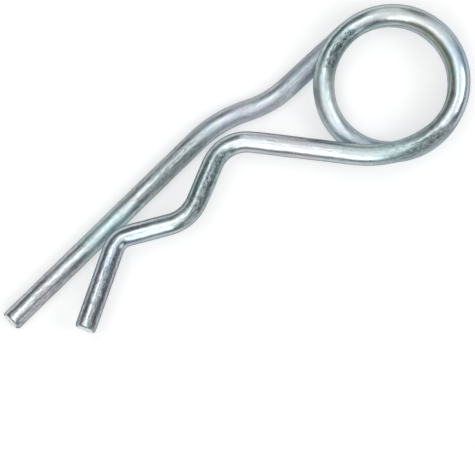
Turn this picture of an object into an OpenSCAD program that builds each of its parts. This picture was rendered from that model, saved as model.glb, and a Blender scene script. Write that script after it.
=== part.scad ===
// Hitch R clip: one length of round spring wire, bent into a straight leg, a
// coil of just over one and a half turns and a wavy leg that grips a shaft.
//
// The clip lies flat. X runs along the straight leg towards the coil, Z points
// up, and the wavy leg is on the -Y side. The origin is on the straight leg's
// axis, where the axis of the shaft that it locks crosses it.
//
// The wire is laid out as it is bent: round pegs on a jig, which give a list of
// bender steps, and each step is then swept as one straight run and one bend.

/* [Wire] */
// Diameter of the spring wire
wire_d = 4; // [3.6:0.1:4.2]
// Rounding of the rim at both cut ends
rim_r = 0.45; // [0.1:0.05:0.8]

/* [Shaft that the clip locks] */
// Diameter of the shaft
shaft_d = 16; // [15:0.1:17]
// How far the wavy leg springs out when the shaft is in its pocket
grip = 1.2; // [0.6:0.1:1.6]

/* [Straight leg] */
// Cut end, measured from the shaft's axis
straight_tip_x = 38.4; // [34:0.1:48]
// Peg of the first joggle bend, measured from the shaft's axis
joggle1_x = 10.6; // [9:0.1:12]
// Inside radius of the first joggle bend
joggle1_r = 22.4; // [18:0.1:24]
// Peg of the second joggle bend, measured from the shaft's axis
joggle2_x = 30.1; // [29:0.1:31]
// Inside radius of the second joggle bend
joggle2_r = 16; // [12:0.1:17]
// How far the joggle sets the leg over towards the wavy one
joggle_drop = 4.7; // [4:0.1:5.4]

/* [Coil] */
// Centre of the lower turn, measured along the straight leg
coil_x = 44.2; // [42:0.1:48]
// Centre of the lower turn, measured across the straight leg
coil_y = 17.8; // [17:0.1:19]
// Bore of the lower turn
coil_bore = 21.4; // [20:0.1:22]
// Gap between the turns on the far side of the coil, one above the other
turn_gap = 0.65; // [0.6:0.05:1.5]
// Where the wire starts to climb, as an angle round the coil
climb_start = -115; // [-120:1:-110]
// Inside radius of the climb's second quarter, which passes over the straight leg
climb_top_r = 11.1; // [10.6:0.1:11.6]
// Inside radius of the upper turn on the far side of the coil
far_side_r = 10.4; // [10:0.1:10.8]
// Angle of the upper turn on the far side of the coil
far_side_angle = 167; // [150:1:175]
// Inside radius where the upper turn opens out into the wavy leg
opening_r = 19.2; // [15:0.1:24]

/* [Wavy leg] */
// Straight run between the coil and the bend that sets the leg down
set_lead = 1.5; // [0.5:0.1:3]
// Inside radius of the bend that sets the leg down
set_r = 58; // [40:1:80]
// Peg of the hump on the coil side, measured from the shaft's axis
hump1_x = 12.5; // [11.5:0.1:13.5]
// Inside radius of the hump on the coil side
hump1_r = 4.8; // [4:0.1:5.4]
// Gap between that hump and the straight leg, seen from above
hump1_gap = 0.75; // [0.4:0.05:1.2]
// Inside radius of the pocket's bend
pocket_r = 5.5; // [4.8:0.1:6]
// Peg of the hump on the tip side, measured from the shaft's axis
hump2_x = 12.7; // [12:0.1:14]
// Inside radius of the hump on the tip side
hump2_r = 1.6; // [1.2:0.1:2.2]
// How far that hump laps the straight leg, seen from above
hump2_lap = 0.75; // [0.3:0.05:1]
// Gap between that hump and the straight leg, in space
leg_gap = 0.9; // [0.85:0.05:1.3]
// Cut end, measured along the straight leg from the shaft's axis
wavy_tip_x = 29.2; // [26:0.1:32]
// Cut end, measured across the straight leg
wavy_tip_y = 11.0; // [9:0.1:13]

/* [Hidden] */
$fn = 96;

wire_r = wire_d / 2;
// Every second piece of wire is a hair thinner, so its ends are inside its neighbours
draw_down = 0.01;
// How far each bend runs on into the pieces before and after it
bury = 0.08;
// Points on the rounded rim of a cut end
rim_steps = 6;

// A peg is [x, y, r]. r is the radius of the wire's centre line round it: above
// 0 where the wire turns left, below 0 where it turns right, 0 at a cut end.
joggle1_peg = [joggle1_x, -joggle1_r - wire_r, -joggle1_r - wire_r];
joggle2_peg = [joggle2_x, joggle2_r + wire_r - joggle_drop, joggle2_r + wire_r];
coil_peg = [coil_x, -coil_y, -coil_bore / 2 - wire_r];
straight_pegs = [[-straight_tip_x, 0, 0], joggle1_peg, joggle2_peg, coil_peg];

pocket_y = shaft_d / 2 - grip + wire_r;
hump1_peg = [hump1_x, -wire_d - hump1_gap - hump1_r - wire_r, hump1_r + wire_r];
pocket_peg = [0, pocket_r + wire_r - pocket_y, -pocket_r - wire_r];
hump2_peg = [-hump2_x, -wire_d + hump2_lap - hump2_r - wire_r, hump2_r + wire_r];
wavy_tip = [-wavy_tip_x, -wavy_tip_y, 0];

// The straight run between two pegs: which way it points, and its length
function run_heading(a, b) =
    atan2(b[1] - a[1], b[0] - a[0]) - asin((b[2] - a[2]) / norm([b[0] - a[0], b[1] - a[1]]));
function run_length(a, b) =
    sqrt(pow(b[0] - a[0], 2) + pow(b[1] - a[1], 2) - pow(b[2] - a[2], 2));

function headings(pegs) = [for (i = [1 : len(pegs) - 1]) run_heading(pegs[i - 1], pegs[i])];

// Brings an angle to between -180 and 180
function wrapped(a) = a - 360 * round(a / 360);

// Frames as matrices: X is the way that the wire runs, Z the axis that it bends round
function moved(x, y, z) = [[1, 0, 0, x], [0, 1, 0, y], [0, 0, 1, z], [0, 0, 0, 1]];
function rolled(a) = [[1, 0, 0, 0], [0, cos(a), -sin(a), 0], [0, sin(a), cos(a), 0], [0, 0, 0, 1]];
function turned(a) = [[cos(a), -sin(a), 0, 0], [sin(a), cos(a), 0, 0], [0, 0, 1, 0], [0, 0, 0, 1]];
function bent(r, a) = moved(0, sign(a) * r, 0) * turned(a) * moved(0, -sign(a) * r, 0);

// A step is [feed, roll, radius, angle], as a wire bender is set: so much wire
// is fed, it is rolled about itself, and it is bent round by an angle, left or right
function after_step(m, s) = m * moved(s[0], 0, 0) * rolled(s[1]) * bent(s[2], s[3]);
function frames(m, steps, i = 0) =
    i == len(steps) ? [m] : concat([m], frames(after_step(m, steps[i]), steps, i + 1));
function last_frame(m, steps) = let (f = frames(m, steps)) f[len(f) - 1];

// Straight leg, joggle and the part of the lower turn that lies flat
leg_dir = headings(straight_pegs);
straight_steps = [
    for (i = [0 : 2]) [
        run_length(straight_pegs[i], straight_pegs[i + 1]),
        0,
        abs(straight_pegs[i + 1][2]),
        i < 2 ? leg_dir[i + 1] - leg_dir[i] : climb_start - 90 - leg_dir[i]
    ]
];

// The climb is half a turn in a tilted plane: it lifts off the lower turn and
// is level again when it gets to the upper one
coil_r = -coil_peg[2];
top_r = climb_top_r + wire_r;
climb = wire_d + turn_gap;
tilt = asin(climb / (coil_r + top_r));
climb_steps = [
    [0, -tilt, coil_r, -90],
    [0, 0, top_r, -90],
    [0, -tilt, far_side_r + wire_r, -far_side_angle]
];

// The upper turn opens out until the wire points at the first hump
start = moved(-straight_tip_x, 0, 0) * turned(leg_dir[0]);
opening_start = last_frame(start, concat(straight_steps, climb_steps));
opening_dir = atan2(opening_start[1][0], opening_start[0][0]);
opening_arc = opening_r + wire_r;
opening_peg = [
    opening_start[0][3] + opening_arc * sin(opening_dir),
    opening_start[1][3] - opening_arc * cos(opening_dir),
    -opening_arc
];
wavy_dir = run_heading(opening_peg, hump1_peg);
opening_step = [0, 0, opening_arc, wrapped(wavy_dir - opening_dir)];
coil_steps = concat(climb_steps, [opening_step]);

// The wavy leg is set down, so that its second hump comes close over the straight leg.
// The vertex is where the lines before and after that bend meet, and the rest of
// the leg lies in a plane through it that slopes down along the leg's first run.
coil_end = last_frame(start, concat(straight_steps, coil_steps));
rest_z = sqrt(pow(wire_d + leg_gap, 2) - pow(wire_d - hump2_lap, 2));
hump2_top = [hump2_peg[0], hump2_peg[1] + hump2_peg[2]];
set_arc = set_r + wire_r;
ahead = [cos(wavy_dir), sin(wavy_dir)];
aside = [-sin(wavy_dir), cos(wavy_dir)];
reach = ahead * (hump2_top - [coil_end[0][3], coil_end[1][3]]);
slope = atan((coil_end[2][3] - rest_z) / (reach - set_lead));
vertex = [coil_end[0][3], coil_end[1][3]] + ahead * (set_lead + set_arc * tan(slope / 2));

function on_slope(peg) = [
    ahead * ([peg[0], peg[1]] - vertex) / cos(slope),
    aside * ([peg[0], peg[1]] - vertex),
    peg[2]
];
wavy_pegs = [[0, 0, 0], on_slope(hump1_peg), on_slope(pocket_peg), on_slope(hump2_peg), on_slope(wavy_tip)];
wave_dir = headings(wavy_pegs);
wavy_steps = [
    [set_lead, -90, set_arc, slope],
    for (i = [0 : 3]) [
        run_length(wavy_pegs[i], wavy_pegs[i + 1]) - (i == 0 ? set_arc * tan(slope / 2) : 0),
        i == 0 ? 90 : 0,
        abs(wavy_pegs[i + 1][2]),
        i < 3 ? wrapped(wave_dir[i + 1] - wave_dir[i]) : 0
    ]
];

steps = concat(straight_steps, coil_steps, wavy_steps);
placed = frames(start, steps);

// The pieces of wire in their order: [step, true for a bend]
pieces = [
    for (i = [0 : len(steps) - 1])
        for (is_bend = [false, true])
            if (is_bend ? steps[i][3] != 0 : steps[i][0] > 0) [i, is_bend]
];

// Outline of a straight run, revolved about the wire's axis, with a rounded rim
// at a cut end
function rim(length, radius) = [
    for (k = [0 : rim_steps])
        let (a = 90 * k / rim_steps)
        [radius - rim_r + rim_r * cos(a), length - rim_r + rim_r * sin(a)]
];

module cut_run(length, radius) {
    rotate([0, 90, 0])
        rotate_extrude()
            polygon(concat([[0, 0], [radius, 0]], rim(length, radius), [[0, length]]));
}

module straight_run(length, radius) {
    rotate([0, 90, 0])
        cylinder(h = length, r = radius);
}

module bend(bend_r, angle, radius) {
    extra = bury / bend_r * 180 / PI;
    left = angle > 0;
    translate([0, left ? bend_r : -bend_r, 0])
        rotate_extrude(
            angle = abs(angle) + 2 * extra,
            start = left ? -90 - extra : 90 + angle - extra
        )
            translate([bend_r, 0])
                circle(radius);
}

module piece(k) {
    s = steps[pieces[k][0]];
    radius = wire_r - (k % 2) * draw_down;
    if (pieces[k][1])
        multmatrix(moved(s[0], 0, 0) * rolled(s[1]))
            bend(s[2], s[3], radius);
    else if (k == 0)
        translate([s[0], 0, 0])
            rotate([0, 0, 180])
                cut_run(s[0], radius);
    else if (k == len(pieces) - 1)
        cut_run(s[0], radius);
    else
        straight_run(s[0], radius);
}

// The whole clip: one wire from cut end to cut end
module clip_wire() {
    color([0.74, 0.78, 0.8])
        for (k = [0 : len(pieces) - 1])
            multmatrix(placed[pieces[k][0]])
                piece(k);
}

clip_wire();
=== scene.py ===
"""Looks of the hitch R clip: one zinc-plated spring wire, seen from straight above.

The wire is swept again here, finer than the CAD solid and along the same route,
so that it carries what bending and shearing leave on it. Lengths are in mm until
they go into a mesh, a lamp or the camera, and angles are in degrees.
"""

from math import asin, atan, atan2, ceil, cos, degrees, exp, hypot, pi, radians, sin, sqrt, tan

import bpy
from mathutils import Matrix, Vector, noise


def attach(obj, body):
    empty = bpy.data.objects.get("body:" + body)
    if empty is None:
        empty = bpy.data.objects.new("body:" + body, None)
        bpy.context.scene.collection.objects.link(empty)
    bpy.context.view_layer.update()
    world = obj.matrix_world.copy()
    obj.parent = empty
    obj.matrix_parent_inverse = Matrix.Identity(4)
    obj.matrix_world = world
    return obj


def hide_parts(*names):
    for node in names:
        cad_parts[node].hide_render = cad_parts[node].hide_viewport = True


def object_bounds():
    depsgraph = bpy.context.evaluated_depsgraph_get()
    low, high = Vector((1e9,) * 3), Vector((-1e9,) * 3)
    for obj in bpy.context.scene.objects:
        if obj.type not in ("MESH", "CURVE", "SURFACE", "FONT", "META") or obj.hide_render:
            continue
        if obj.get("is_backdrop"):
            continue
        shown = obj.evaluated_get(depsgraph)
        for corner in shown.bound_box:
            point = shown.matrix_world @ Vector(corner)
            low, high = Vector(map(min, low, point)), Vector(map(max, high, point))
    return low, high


MM = 0.001

# Sizes of the clip, as in the CAD source
WIRE_D = 4.0
WIRE_R = WIRE_D / 2
RIM_R = 0.45
SHAFT_D = 16.0
GRIP = 1.2

STRAIGHT_TIP_X = 38.4
JOGGLE1_X = 10.6
JOGGLE1_R = 22.4
JOGGLE2_X = 30.1
JOGGLE2_R = 16.0
JOGGLE_DROP = 4.7

COIL_X = 44.2
COIL_Y = 17.8
COIL_BORE = 21.4
TURN_GAP = 0.65
CLIMB_START = -115
CLIMB_TOP_R = 11.1
FAR_SIDE_R = 10.4
FAR_SIDE_ANGLE = 167
OPENING_R = 19.2

SET_LEAD = 1.5
SET_R = 58.0
HUMP1_X = 12.5
HUMP1_R = 4.8
HUMP1_GAP = 0.75
POCKET_R = 5.5
HUMP2_X = 12.7
HUMP2_R = 1.6
HUMP2_LAP = 0.75
LEG_GAP = 0.9
WAVY_TIP_X = 29.2
WAVY_TIP_Y = 11.0

# Mesh of the wire: distance between loops, sides of a loop, loops on a cut end's rim and face, and
# the places of its two materials
STATION = 0.4
SIDES = 64
RIM_LOOPS = 5
FACE_LOOPS = 9
PLATE, SHEARED = 0, 1

# What a bend leaves, in mm for a strain of 1, where strain is the wire's radius over the bend's:
# its outside flattens, its two sides stand out by a share of that, and past BULGE_STRAIN its
# inside bulges. Bends ease in and out over EASE, and the easing ends at EASE_TAIL times that.
EASE = 1.0
EASE_TAIL = 3
FLATTENING = 0.22
SIDE_SHARE = 0.5
INNER_BULGE = 0.12
BULGE_STRAIN = 0.2

# Faint unevenness from drawing and from handling: its height, then how fast it changes along,
# across and up the straightened wire. The second starts elsewhere in the same noise.
WAVE = 0.03
WAVE_PACE = (0.22, 0.5, 0.5)
HANDLED = 0.02
HANDLED_PACE = (0.7, 0.9, 0.9)
HANDLED_START = 40

# Cut ends. The top of the face is set back from its foot by SLANT. The blade went through along
# SHEAR_WAY: the rim is rolled over more where it came in, and from TORN_FROM on the face turns
# torn over TORN_EDGE. TORN is how deeply, and TORN_PACE how finely.
SHEAR_WAY = Vector((0, 0.6, 0.8))
SHEAR_ACROSS = Vector((0, -0.8, 0.6))
ROLL_OVER = 0.45
SLANT = 1.0
TORN = 0.16
TORN_PACE = 0.9
TORN_FROM = -0.9
TORN_EDGE = 0.7

# The photograph's view: straight down, with the straight leg turned to the left
PHOTO_WIDTH = 475
PHOTO_PX_PER_MM = 5.33
PHOTO_TURN = 44.26
AIM = (5.3, -16.6)
CAMERA_HEIGHT = 600.0
SENSOR_MM = 36.0
CLIP_START, CLIP_END = 0.01, 10.0

# Pale floor, in metres, lifted to white where the camera or the metal sees it
FLOOR_REACH = 4.0
FLOOR_COLOUR = 0.62
FLOOR_LIFT = 0.46

# A dim cool room, and a dome of equal softboxes, in metres: for each tilt from straight up, the
# level of the box in each direction, counter-clockwise from the photograph's right-hand side
ROOM_COLOUR = (0.92, 0.96, 1.0)
ROOM_LEVEL = 0.08
SOFTBOX_SIZE = 0.42
SOFTBOX_DISTANCE = 1.1
SOFTBOXES = {
    0: {0: 0.95},
    22: {0: 0.95, 60: 0.95, 120: 2.3, 180: 2.3, 240: 2.3, 300: 0.95},
    44: {0: 4.6, 45: 0.9, 90: 0.9, 135: 0.6, 180: 0.7, 225: 0.7, 270: 2.9},
    66: {45: 0.9, 90: 0.9, 315: 1.75},
}

# Zinc plate: its colour, the near-black colour painted on one side of a rub as a painted reflection
# of a dark part of the room, its tint at grazing angles, and how much its gloss is drawn out, a
# quarter turn from the grain
ZINC = (0.63, 0.68, 0.70)
PAINTED_SHADE_ZINC = (0.07, 0.085, 0.085)
EDGE_TINT = (0.05, 0.07, 0.06)
DRAWN = 0.7
QUARTER_TURN = 0.25

# Noises in the straightened wire: stretch along, across and up it, scale, detail and roughness
DRAW_LINES = ((0.04, 1, 1), 2.2, 5, 0.7)
GRAIN = ((0.35, 1, 1), 2.6, 4, 0.8)
SPECKS = ((0.6, 1, 1), 2.2, 5, 0.9)
CLOUDS = ((0.15, 0.35, 0.35), 1.0, 3, 0.6)
FLECKS = ((0.25, 0.6, 0.6), 0.8, 2, 0.6)
CLOUD_RANGE = (0.3, 0.7)

# How strongly draw lines and grain show where the plate is clean, the share of rub and painted
# shade at which they show in full, the depth of their relief, and the grain's share of it
CLEAN_GRAIN = 0.25
FULL_GRAIN_AT = 0.5
GRAIN_DEPTH = 0.014
GRAIN_SHARE = 0.8

# Colours over those noises
STREAK_STOPS = [
    (0.36, (0.5, 0.51, 0.52)),
    (0.48, (1, 1, 1)),
    (0.55, (1, 1, 1)),
    (0.66, (0.66, 0.67, 0.68)),
]
MOTTLE_STOPS = [
    (0.34, (0.5, 0.51, 0.51)),
    (0.47, (0.95, 0.95, 0.95)),
    (0.6, (1.2, 1.2, 1.2)),
]
FLECK_STOPS = [
    (0.34, (0.93, 1, 0.99)),
    (0.44, (1, 1, 1)),
    (0.52, (1, 0.96, 0.97)),
    (0.58, (1, 1, 1)),
    (0.68, (0.93, 0.97, 1)),
]

# Tints by distance along the wire in mm, and how far their edges drift. The grey and dusky tints
# mostly
# darken their stretches: painted shade with a faint tint.
TINTS = {
    "plain": (0.97, 0.99, 0.98),
    "teal": (0.84, 1.0, 0.99),
    "blue": (0.85, 0.93, 1.0),
    "violet": (0.94, 0.91, 1.0),
    "rose": (1.0, 0.92, 0.94),
    "pale_straw": (0.98, 1.0, 0.9),
    "grey": (0.82, 0.86, 0.85),
    "dusk_and_shade": (0.76, 0.8, 0.86),
}
TINT_DRIFT = 5.0
TINT_STOPS = [
    (0, "plain"), (10, "rose"), (19, "plain"), (26, "teal"), (33, "plain"), (38, "grey"),
    (47, "grey"), (51, "blue"), (55, "plain"), (60, "violet"), (66, "plain"), (70, "dusk_and_shade"),
    (77, "dusk_and_shade"), (83, "plain"), (139, "blue"), (150, "plain"), (162, "teal"), (170, "plain"),
    (181, "pale_straw"), (187, "teal"), (197, "plain"), (204, "grey"), (212, "teal"),
    (222, "plain"), (232, "rose"), (241, "plain"), (251, "teal"), (262, "plain"),
    (271, "blue"), (280, "violet"), (289, "plain"),
]

# On the coil the colour goes from the wire's right side, towards the bore, to its left side, over
# the span
# below across the wire: the right side is a darker olive, partly tint and partly painted shade, and
# the left a faint blue tint. The stops say where along it, from 0 to 1.
RIGHT_TINT_AND_SHADE = (0.68, 0.66, 0.52)
LEFT_TINT = (0.92, 0.93, 1.04)
SIDE_SHADE_EDGE = (-0.8, 0.45)
SIDE_SHADE_STOPS = [(0, 0), (175, 0), (183, 1), (190, 1), (198, 0.4), (206, 0), (290, 0)]

# Where along the wire it is rubbed, from 0 to 1. The side towards -Y is roughened there and painted
# dark, a painted reflection of a dark part of the room, further round where the share is higher,
# and it fades low on the wire.
SHADE_AND_HAZE_DRIFT = 1.2
RUB_AND_SHADE_STOPS = [
    (0, 0.48), (19, 0.45), (24, 0.1), (30, 0.2), (35, 0.6), (46, 0.6), (51, 0.1),
    (76, 0.2), (155, 0.1), (157, 0.95), (164.5, 0.95), (166.5, 0),
    (199, 0), (203, 0.9), (208, 0.8), (212, 0.5), (219, 0),
    (243, 0), (247, 0.92), (257, 0.92), (262, 0.1),
    (273, 0.1), (277, 0.68), (290, 0.68),
]
SHADE_REACH = 0.8
SHADE_EDGE = (0.45, 0.7)
SHADE_LOW_EDGE = (0.45, 0.85)
SHADE_LOW_SHARE = 0.2
SPECK_EDGE = (0.46, 0.55)
SPECK_SHARES = (0.4, 1.05)

# Roughness of the clean plate, what the rub's painted-shade side adds to it, and what haze adds
# along the wire
CLEAN_ROUGHNESS = (0.2, 0.29)
DULL_AND_SHADE_ROUGHNESS = 0.12
HAZE_ROUGHNESS = 0.19
HAZE_STOPS = [
    (0, 0), (19, 0.1), (26, 0.6), (33, 0.3), (42, 0.8), (50, 1), (56, 0.2), (61, 1),
    (67, 0.3), (71, 1), (76, 1), (132, 0.6), (155, 0.6), (158, 0.1), (178, 0.2),
    (182, 0.6), (190, 0.3), (196, 0), (203, 0.5), (212, 0.8), (217, 0.1), (290, 0),
]

# Torn steel of the cut faces, scored along the blade's way
SCORES = ((1, 1, 1), 2.2, 5, 0.75)
SCORE_STRETCH = 0.35
SCORE_DEPTH = 0.028
SCORE_ROUGHNESS = 0.42
SCORE_STOPS = [(0.38, (0.5, 0.52, 0.53)), (0.52, (0.86, 0.88, 0.89))]


def run_heading(a, b):
    """Which way the straight run between two pegs (x, y, signed r) points."""
    gap = hypot(b[0] - a[0], b[1] - a[1])
    return degrees(atan2(b[1] - a[1], b[0] - a[0]) - asin((b[2] - a[2]) / gap))


def run_length(a, b):
    return sqrt((b[0] - a[0]) ** 2 + (b[1] - a[1]) ** 2 - (b[2] - a[2]) ** 2)


def wrapped(angle):
    return angle - 360 * round(angle / 360)


def moved(x, y=0.0, z=0.0):
    return Matrix.Translation((x, y, z))


def rolled(angle):
    return Matrix.Rotation(radians(angle), 4, "X")


def turned(angle):
    return Matrix.Rotation(radians(angle), 4, "Z")


def bent(radius, angle):
    side = radius if angle > 0 else -radius
    return moved(0, side) @ turned(angle) @ moved(0, -side)


def after_step(frame, step):
    feed, roll, radius, angle = step
    return frame @ moved(feed) @ rolled(roll) @ bent(radius, angle)


def after_steps(frame, steps):
    for step in steps:
        frame = after_step(frame, step)
    return frame


def straight_leg_steps():
    """Straight leg, joggle and the flat part of the lower turn, and the first heading."""
    coil_r = COIL_BORE / 2 + WIRE_R
    pegs = [
        (-STRAIGHT_TIP_X, 0, 0),
        (JOGGLE1_X, -JOGGLE1_R - WIRE_R, -JOGGLE1_R - WIRE_R),
        (JOGGLE2_X, JOGGLE2_R + WIRE_R - JOGGLE_DROP, JOGGLE2_R + WIRE_R),
        (COIL_X, -COIL_Y, -coil_r),
    ]
    way = [run_heading(a, b) for a, b in zip(pegs, pegs[1:])]
    way.append(CLIMB_START - 90)
    steps = [
        (run_length(pegs[i], pegs[i + 1]), 0, abs(pegs[i + 1][2]), way[i + 1] - way[i])
        for i in range(len(pegs) - 1)
    ]
    return steps, way[0]


def climb_steps():
    """Half a turn in a tilted plane, then the upper turn on the far side of the coil."""
    coil_r = COIL_BORE / 2 + WIRE_R
    top_r = CLIMB_TOP_R + WIRE_R
    tilt = degrees(asin((WIRE_D + TURN_GAP) / (coil_r + top_r)))
    return [
        (0, -tilt, coil_r, -90),
        (0, 0, top_r, -90),
        (0, -tilt, FAR_SIDE_R + WIRE_R, -FAR_SIDE_ANGLE),
    ]


def wavy_leg_steps(start):
    """From the end of the upper turn to the wavy leg's cut end."""
    hump1 = (HUMP1_X, -WIRE_D - HUMP1_GAP - HUMP1_R - WIRE_R, HUMP1_R + WIRE_R)
    pocket_y = SHAFT_D / 2 - GRIP + WIRE_R
    pocket = (0, POCKET_R + WIRE_R - pocket_y, -POCKET_R - WIRE_R)
    hump2 = (-HUMP2_X, -WIRE_D + HUMP2_LAP - HUMP2_R - WIRE_R, HUMP2_R + WIRE_R)
    tip = (-WAVY_TIP_X, -WAVY_TIP_Y, 0)

    x, y, z = start.translation
    way = degrees(atan2(start[1][0], start[0][0]))
    arc = OPENING_R + WIRE_R
    opening = (x + arc * sin(radians(way)), y - arc * cos(radians(way)), -arc)
    leg_way = run_heading(opening, hump1)
    opening_step = (0, 0, arc, wrapped(leg_way - way))

    # The leg is set down along its first run, and the rest of it lies in that sloped plane
    end = Vector(after_step(start, opening_step).translation[:2])
    low_z = sqrt((WIRE_D + LEG_GAP) ** 2 - (WIRE_D - HUMP2_LAP) ** 2)
    ahead = Vector((cos(radians(leg_way)), sin(radians(leg_way))))
    aside = Vector((-ahead.y, ahead.x))
    reach = ahead.dot(Vector((hump2[0], hump2[1] + hump2[2])) - end)
    slope = atan((z - low_z) / (reach - SET_LEAD))
    set_arc = SET_R + WIRE_R
    set_half = set_arc * tan(slope / 2)
    vertex = end + ahead * (SET_LEAD + set_half)

    def on_slope(peg):
        away = Vector(peg[:2]) - vertex
        return (ahead.dot(away) / cos(slope), aside.dot(away), peg[2])

    pegs = [(0, 0, 0), on_slope(hump1), on_slope(pocket), on_slope(hump2), on_slope(tip)]
    ways = [run_heading(a, b) for a, b in zip(pegs, pegs[1:])]
    turns = [wrapped(b - a) for a, b in zip(ways, ways[1:])] + [0]
    steps = [opening_step, (SET_LEAD, -90, set_arc, degrees(slope))]
    for i, turn in enumerate(turns):
        feed = run_length(pegs[i], pegs[i + 1]) - (set_half if i == 0 else 0)
        steps.append((feed, 90 if i == 0 else 0, abs(pegs[i + 1][2]), turn))
    return steps


def wire_steps():
    """The frame that the wire starts from and the bender steps of the whole clip."""
    steps, way = straight_leg_steps()
    start = moved(-STRAIGHT_TIP_X) @ turned(way)
    steps += climb_steps()
    steps += wavy_leg_steps(after_steps(start, steps))
    return start, steps


def curvature_smoothed(rows):
    """Rows of (distance, frame, curvature), with the curvature eased in and out of each bend."""
    reach = ceil(EASE_TAIL * EASE / STATION)
    eased = []
    for i, (along, frame, _) in enumerate(rows):
        total, weight = Vector((0, 0, 0)), 0.0
        for near, _, bend in rows[max(0, i - reach): i + reach + 1]:
            w = exp(-(((near - along) / EASE) ** 2))
            total += bend * w
            weight += w
        eased.append((along, frame, total / weight))
    return eased


def wire_rows():
    """Places along the wire: (distance from the first end, frame, curvature towards the bend's
    centre). The frame's roll is carried on without a jump, so that the mesh doesn't twist."""
    frame, steps = wire_steps()
    straight = Vector((0, 0, 0))
    rows, gone, roll = [], 0.0, 0.0
    for feed, turn, radius, angle in steps:
        count = ceil(feed / STATION)
        for i in range(count):
            part = feed * i / count
            rows.append((gone + part, frame @ moved(part) @ rolled(-roll), straight))
        gone += feed
        roll += turn
        frame = frame @ moved(feed) @ rolled(turn)
        if not angle:
            continue
        inward = Vector((0, cos(radians(roll)), sin(radians(roll)))) * (1 if angle > 0 else -1)
        length = abs(radians(angle)) * radius
        count = ceil(length / STATION)
        for i in range(count):
            part = frame @ bent(radius, angle * i / count) @ rolled(-roll)
            rows.append((gone + length * i / count, part, inward / radius))
        gone += length
        frame = frame @ bent(radius, angle)
    rows.append((gone, frame @ rolled(-roll), straight))
    return curvature_smoothed(rows)


def unevenness(place, pace, start=0):
    """Smooth noise from -1 to 1 on the straightened wire."""
    x, y, z = (at * step for at, step in zip(place, pace))
    return noise.noise(Vector((x + start, y, z)))


def stand_off(along, side, bend):
    """How far the surface stands off a true round wire, for a side as a unit vector across it."""
    inner = side.dot(bend) * WIRE_R
    across = bend.length * WIRE_R - abs(inner)
    flattened = FLATTENING * (SIDE_SHARE * across - max(0.0, -inner))
    bulge = INNER_BULGE * max(0.0, inner - BULGE_STRAIN)
    place = (along, WIRE_R * side.y, WIRE_R * side.z)
    wave = WAVE * unevenness(place, WAVE_PACE)
    handled = HANDLED * unevenness(place, HANDLED_PACE, HANDLED_START)
    return flattened + bulge + wave + handled


class Skin:
    """Vertices of the wire's surface, each with its place on the straightened wire and the way
    that its grain runs: axis 0 of the frame, along the wire, or axis 1, across a cut face."""

    def __init__(self):
        turns = [2 * pi * k / SIDES for k in range(SIDES)]
        self.sides = [Vector((0, cos(turn), sin(turn))) for turn in turns]
        self.verts, self.straight, self.grain = [], [], []

    def vertex(self, frame, along, step, across, way):
        self.verts.append((frame @ (across + Vector((step, 0, 0)))) * MM)
        self.straight.append((along + step, across.y, across.z))
        self.grain.append(frame.col[way][:3])
        return len(self.verts) - 1

    def loop(self, row, outline, way=0):
        """One loop of vertices. outline(side) gives its step along the wire and its radius."""
        along, frame, bend = row
        first = len(self.verts)
        for side in self.sides:
            step, radius = outline(side)
            off = stand_off(along + step, side, bend) * radius / WIRE_R
            self.vertex(frame, along, step, side * (radius + off), way)
        return first


def sheared_end(skin, row, outward):
    """A slanted, torn end, rolled over on one side: its loops from the wire inwards, and its
    middle. outward is -1 at the wire's start and 1 at its end."""
    along, frame, _ = row
    up = Vector((0, frame[2][1], frame[2][2]))

    def rim_r(side):
        return RIM_R * (1 - ROLL_OVER * side.dot(SHEAR_WAY))

    def set_back(place):
        return SLANT * (0.5 + up.dot(place) / WIRE_D)

    def torn(place):
        past_cut = min(1.0, max(0.0, (place.dot(SHEAR_WAY) - TORN_FROM) / TORN_EDGE))
        return TORN * past_cut * (noise.noise(place * TORN_PACE + Vector((along, 0, 0))) - 0.5)

    loops = []
    for i in range(RIM_LOOPS + 1):
        turn = pi / 2 * i / RIM_LOOPS

        def rim(side):
            radius = WIRE_R - rim_r(side) * (1 - cos(turn))
            return -outward * (set_back(side * radius) + rim_r(side) * (1 - sin(turn))), radius

        loops.append(skin.loop(row, rim))
    for i in range(1, FACE_LOOPS):
        share = 1 - i / FACE_LOOPS

        def face(side):
            place = side * (WIRE_R - rim_r(side)) * share
            return outward * (torn(place) * sqrt(1 - share) - set_back(place)), place.length

        loops.append(skin.loop(row, face, way=1))
    centre = Vector((0, 0, 0))
    middle = skin.vertex(frame, along, outward * (torn(centre) - set_back(centre)), centre, 1)
    return loops, middle


def skin_faces(chain, head_middle, tail_middle):
    """The faces between the chain's loops and over its two ends, and each face's material."""
    faces, slots = [], []
    last_rim = len(chain) - FACE_LOOPS
    for i, (a, b) in enumerate(zip(chain, chain[1:])):
        on_face = i < FACE_LOOPS - 1 or i >= last_rim
        for k in range(SIDES):
            n = (k + 1) % SIDES
            faces.append((b + k, b + n, a + n, a + k))
            slots.append(SHEARED if on_face else PLATE)
    for k in range(SIDES):
        n = (k + 1) % SIDES
        faces.append((head_middle, chain[0] + n, chain[0] + k))
        faces.append((tail_middle, chain[-1] + k, chain[-1] + n))
        slots += [SHEARED, SHEARED]
    return faces, slots


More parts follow.
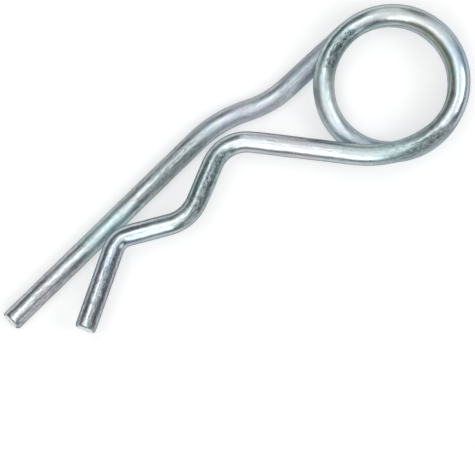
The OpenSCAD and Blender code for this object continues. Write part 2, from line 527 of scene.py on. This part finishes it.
def wire_mesh():
    """The swept wire with its two sheared ends."""
    rows = wire_rows()
    total = rows[-1][0]
    keep_off = RIM_R * (1 + ROLL_OVER) + SLANT + STATION / 2
    skin = Skin()
    head, head_middle = sheared_end(skin, rows[0], -1)
    body = [
        skin.loop(row, lambda side: (0, WIRE_R))
        for row in rows
        if keep_off < row[0] < total - keep_off
    ]
    tail, tail_middle = sheared_end(skin, rows[-1], 1)
    faces, slots = skin_faces(head[::-1] + body + tail, head_middle, tail_middle)

    mesh = bpy.data.meshes.new("spring_wire")
    mesh.from_pydata([tuple(v) for v in skin.verts], [], faces)
    for name, vectors in (("straightened", skin.straight), ("grain_way", skin.grain)):
        kept = mesh.attributes.new(name, "FLOAT_VECTOR", "POINT")
        kept.data.foreach_set("vector", [c for v in vectors for c in v])
    mesh.polygons.foreach_set("use_smooth", [True] * len(mesh.polygons))
    mesh.materials.append(zinc_plate(total))
    mesh.materials.append(sheared_steel())
    mesh.polygons.foreach_set("material_index", slots)
    mesh.update()
    return mesh


def add(tree, kind, inputs, **settings):
    """A shader node with its settings made and its sockets linked or set."""
    made = tree.nodes.new("ShaderNode" + kind)
    for name, value in settings.items():
        setattr(made, name, value)
    for name, value in inputs.items():
        if isinstance(value, bpy.types.NodeSocket):
            tree.links.new(value, made.inputs[name])
        else:
            made.inputs[name].default_value = value
    return made


def new_material(name):
    material = bpy.data.materials.new(name)
    material.use_nodes = True
    material.node_tree.nodes.clear()
    return material, material.node_tree


def attribute(tree, name):
    return add(tree, "Attribute", {}, attribute_name=name).outputs["Vector"]


def plus(tree, a, b):
    return add(tree, "Math", {0: a, 1: b}, operation="ADD").outputs[0]


def times(tree, a, b):
    return add(tree, "Math", {0: a, 1: b}, operation="MULTIPLY").outputs[0]


def stretched_noise(tree, place, stretch, scale, detail, roughness):
    """Noise in the straightened wire, in mm, with its own stretch along, across and up."""
    vector = add(tree, "VectorMath", {0: place, 1: stretch}, operation="MULTIPLY").outputs[0]
    inputs = {"Vector": vector, "Scale": scale, "Detail": detail, "Roughness": roughness}
    return add(tree, "TexNoise", inputs).outputs["Fac"]


def spread(tree, value, low, high, to_low=0.0, to_high=1.0):
    """The value moved from one range to another, and held within it."""
    ends = {"From Min": low, "From Max": high, "To Min": to_low, "To Max": to_high}
    return add(tree, "MapRange", {"Value": value, **ends}).outputs["Result"]


def ramp(tree, value, stops):
    """A colour ramp with stops of (place from 0 to 1, colour)."""
    made = add(tree, "ValToRGB", {"Fac": value})
    elements = made.color_ramp.elements
    while len(elements) > 1:
        elements.remove(elements[-1])
    for i, (at, colour) in enumerate(stops):
        element = elements[0] if i == 0 else elements.new(at)
        element.position = at
        element.color = (*colour, 1)
    return made.outputs["Color"]


def shares(stops):
    """Stops of (distance, share) as stops of (distance, grey colour)."""
    return [(at, (share, share, share)) for at, share in stops]


def mixed(tree, share, a, b, how="MIX"):
    """Two colours mixed. A Mix node takes colours in inputs 6 and 7 and gives one in output 2."""
    made = tree.nodes.new("ShaderNodeMix")
    made.data_type = "RGBA"
    made.blend_type = how
    for socket, value in ((made.inputs[0], share), (made.inputs[6], a), (made.inputs[7], b)):
        if isinstance(value, bpy.types.NodeSocket):
            tree.links.new(value, socket)
        else:
            socket.default_value = value
    return made.outputs[2]


def painted_shade_flank(tree, rub_and_shade):
    """How much a place is in its stretch's rub and painted shade: the shade is painted on the side
    towards -Y as a reflection of a dark part of the room, and less of it low on the wire.
    """
    normal = add(tree, "TexCoord", {}).outputs["Normal"]
    facing = add(tree, "SeparateXYZ", {0: normal}).outputs
    reach = plus(tree, times(tree, rub_and_shade, SHADE_REACH), times(tree, facing["Y"], -1.0))
    shade_flank = times(tree, spread(tree, reach, *SHADE_EDGE), rub_and_shade)
    return times(tree, shade_flank, spread(tree, facing["Z"], *SHADE_LOW_EDGE, SHADE_LOW_SHARE, 1.0))


def zinc_plate(wire_length):
    """Bright zinc on drawn wire: draw lines and grain, stretches of rub, roughened and painted
    near-black on the side towards -Y as a painted reflection of a dark part of the room, haze,
    faint tints, and painted shade on the coil's side towards the bore.
    """
    material, tree = new_material("zinc_plate")
    place = attribute(tree, "straightened")
    axes = add(tree, "SeparateXYZ", {0: place}).outputs
    draw_lines = stretched_noise(tree, place, *DRAW_LINES)
    grain = stretched_noise(tree, place, *GRAIN)
    specks = stretched_noise(tree, place, *SPECKS)
    clouds = stretched_noise(tree, place, *CLOUDS)
    flecks = stretched_noise(tree, place, *FLECKS)

    def along_wire(stops, drift):
        """A ramp with its stops at distances along the wire, each edge drifting by some mm."""
        along = plus(tree, axes["X"], spread(tree, clouds, *CLOUD_RANGE, -drift, drift))
        share = add(tree, "Math", {0: along, 1: wire_length}, operation="DIVIDE").outputs[0]
        return ramp(tree, share, [(at / wire_length, colour) for at, colour in stops])

    # Stretches of rub, which also place the painted shade on the side towards -Y
    rub_and_shade = along_wire(shares(RUB_AND_SHADE_STOPS), SHADE_AND_HAZE_DRIFT)
    shade_flank = painted_shade_flank(tree, rub_and_shade)
    dull_and_shade = times(tree, shade_flank, spread(tree, specks, *SPECK_EDGE, *SPECK_SHARES))
    worn = spread(tree, rub_and_shade, 0.0, FULL_GRAIN_AT, CLEAN_GRAIN, 1.0)

    tint = along_wire([(at, TINTS[name]) for at, name in TINT_STOPS], TINT_DRIFT)
    # Painted shade on the coil: the side towards the bore is a darker olive, partly tint and partly
    # painted shade
    right_to_left = spread(tree, axes["Y"], *SIDE_SHADE_EDGE)
    side_tint_and_shade = mixed(tree, right_to_left, (*RIGHT_TINT_AND_SHADE, 1), (*LEFT_TINT, 1))
    side_shade_share = along_wire(shares(SIDE_SHADE_STOPS), TINT_DRIFT)
    colour = mixed(tree, 1.0, (*ZINC, 1), tint, "MULTIPLY")
    colour = mixed(tree, side_shade_share, colour, side_tint_and_shade, "MULTIPLY")
    colour = mixed(tree, 1.0, colour, ramp(tree, flecks, FLECK_STOPS), "MULTIPLY")
    colour = mixed(tree, worn, colour, ramp(tree, draw_lines, STREAK_STOPS), "MULTIPLY")
    colour = mixed(tree, worn, colour, ramp(tree, grain, MOTTLE_STOPS), "MULTIPLY")
    # Painted shade: that side turns near-black, a painted reflection of a dark part of the room
    colour = mixed(tree, dull_and_shade, colour, (*PAINTED_SHADE_ZINC, 1))

    hazed = along_wire(shares(HAZE_STOPS), SHADE_AND_HAZE_DRIFT)
    rough = spread(tree, clouds, *CLOUD_RANGE, *CLEAN_ROUGHNESS)
    rough = plus(tree, rough, times(tree, dull_and_shade, DULL_AND_SHADE_ROUGHNESS))
    rough = plus(tree, rough, times(tree, hazed, HAZE_ROUGHNESS))

    relief = plus(tree, draw_lines, times(tree, grain, GRAIN_SHARE))
    relief = plus(tree, times(tree, relief, worn), times(tree, specks, shade_flank))
    bump = add(tree, "Bump", {"Strength": 1.0, "Distance": GRAIN_DEPTH * MM, "Height": relief})

    inputs = {
        "Base Color": colour,
        "Metallic": 1.0,
        "Roughness": rough,
        "Specular Tint": (*EDGE_TINT, 1),
        "Anisotropic": DRAWN,
        "Anisotropic Rotation": QUARTER_TURN,
        "Tangent": attribute(tree, "grain_way"),
        "Normal": bump.outputs[0],
    }
    shader = add(tree, "BsdfPrincipled", inputs)
    add(tree, "OutputMaterial", {"Surface": shader.outputs[0]})
    return material


def sheared_steel():
    """The torn face of a cut end: paler and more matt than the drawn wire, and without tints."""
    material, tree = new_material("sheared_steel")
    place = attribute(tree, "straightened")

    def reach(way):
        return add(tree, "VectorMath", {0: place, 1: way}, operation="DOT_PRODUCT").outputs["Value"]

    along_cut = times(tree, reach(SHEAR_WAY), SCORE_STRETCH)
    cut = add(tree, "CombineXYZ", {0: along_cut, 1: reach(SHEAR_ACROSS)}).outputs[0]
    scores = stretched_noise(tree, cut, *SCORES)
    bump = add(tree, "Bump", {"Distance": SCORE_DEPTH * MM, "Height": scores})
    inputs = {
        "Base Color": ramp(tree, scores, SCORE_STOPS),
        "Metallic": 1.0,
        "Roughness": SCORE_ROUGHNESS,
        "Normal": bump.outputs[0],
    }
    shader = add(tree, "BsdfPrincipled", inputs)
    add(tree, "OutputMaterial", {"Surface": shader.outputs[0]})
    return material


def floor_paint():
    """Matt paper that glows a little for the camera and for the metal's reflections, so that it
    shows white without more light on the clip."""
    material, tree = new_material("studio_floor")
    paper = add(tree, "BsdfDiffuse", {"Color": (FLOOR_COLOUR, FLOOR_COLOUR, FLOOR_COLOUR, 1)})
    path = add(tree, "LightPath", {}).outputs
    rays = {0: path["Is Camera Ray"], 1: path["Is Glossy Ray"]}
    seen = add(tree, "Math", rays, operation="MAXIMUM").outputs[0]
    glow = add(tree, "Emission", {"Strength": times(tree, seen, FLOOR_LIFT)})
    both = add(tree, "AddShader", {0: paper.outputs[0], 1: glow.outputs[0]})
    add(tree, "OutputMaterial", {"Surface": both.outputs[0]})
    return material


def make_floor(z):
    ways = [(-1, -1), (1, -1), (1, 1), (-1, 1)]
    corners = [(x * FLOOR_REACH, y * FLOOR_REACH, z) for x, y in ways]
    mesh = bpy.data.meshes.new("floor")
    mesh.from_pydata(corners, [], [(0, 1, 2, 3)])
    floor = bpy.data.objects.new("floor", mesh)
    bpy.context.scene.collection.objects.link(floor)
    floor.data.materials.append(floor_paint())
    floor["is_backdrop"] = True


def make_camera():
    data = bpy.data.cameras.new("camera")
    data.sensor_width = SENSOR_MM
    data.lens = CAMERA_HEIGHT * SENSOR_MM * PHOTO_PX_PER_MM / PHOTO_WIDTH
    data.clip_start, data.clip_end = CLIP_START, CLIP_END
    camera = bpy.data.objects.new("camera", data)
    camera.location = (AIM[0] * MM, AIM[1] * MM, CAMERA_HEIGHT * MM)
    camera.rotation_euler = (0, 0, radians(-PHOTO_TURN))
    bpy.context.scene.collection.objects.link(camera)
    bpy.context.scene.camera = camera


def softbox(name, photo_way, tilt, level):
    """A square lamp that faces the clip. photo_way is counter-clockwise from the photograph's
    right-hand side and tilt is measured from straight up."""
    way = radians(photo_way - PHOTO_TURN)
    lean = radians(tilt)
    out = Vector((cos(way) * sin(lean), sin(way) * sin(lean), cos(lean)))
    data = bpy.data.lights.new(name, "AREA")
    data.shape = "SQUARE"
    data.size = SOFTBOX_SIZE
    data.energy = level * pi * SOFTBOX_SIZE**2
    lamp = bpy.data.objects.new(name, data)
    lamp.location = Vector((AIM[0] * MM, AIM[1] * MM, 0)) + out * SOFTBOX_DISTANCE
    lamp.rotation_mode = "QUATERNION"
    lamp.rotation_quaternion = out.to_track_quat("Z", "Y")
    bpy.context.scene.collection.objects.link(lamp)


def make_light():
    world = bpy.data.worlds.new("studio")
    bpy.context.scene.world = world
    world.use_nodes = True
    background = world.node_tree.nodes["Background"].inputs
    background["Color"].default_value = (*ROOM_COLOUR, 1)
    background["Strength"].default_value = ROOM_LEVEL
    for tilt, levels in SOFTBOXES.items():
        for photo_way, level in levels.items():
            softbox(f"softbox_{tilt}_{photo_way}", photo_way, tilt, level)


def dress_wire():
    wire = bpy.data.objects.new("spring_wire", wire_mesh())
    bpy.context.scene.collection.objects.link(wire)
    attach(wire, "root")
    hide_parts("clip_wire")


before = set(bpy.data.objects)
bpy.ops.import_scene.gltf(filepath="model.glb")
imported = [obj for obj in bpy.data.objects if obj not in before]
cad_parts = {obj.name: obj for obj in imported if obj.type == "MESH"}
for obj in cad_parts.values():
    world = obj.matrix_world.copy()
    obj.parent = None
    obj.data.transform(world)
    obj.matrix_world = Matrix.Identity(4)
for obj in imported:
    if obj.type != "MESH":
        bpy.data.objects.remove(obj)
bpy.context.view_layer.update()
bpy.context.scene.view_settings.view_transform = "Standard"
make_camera()
dress_wire()
make_floor(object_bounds()[0].z)
make_light()
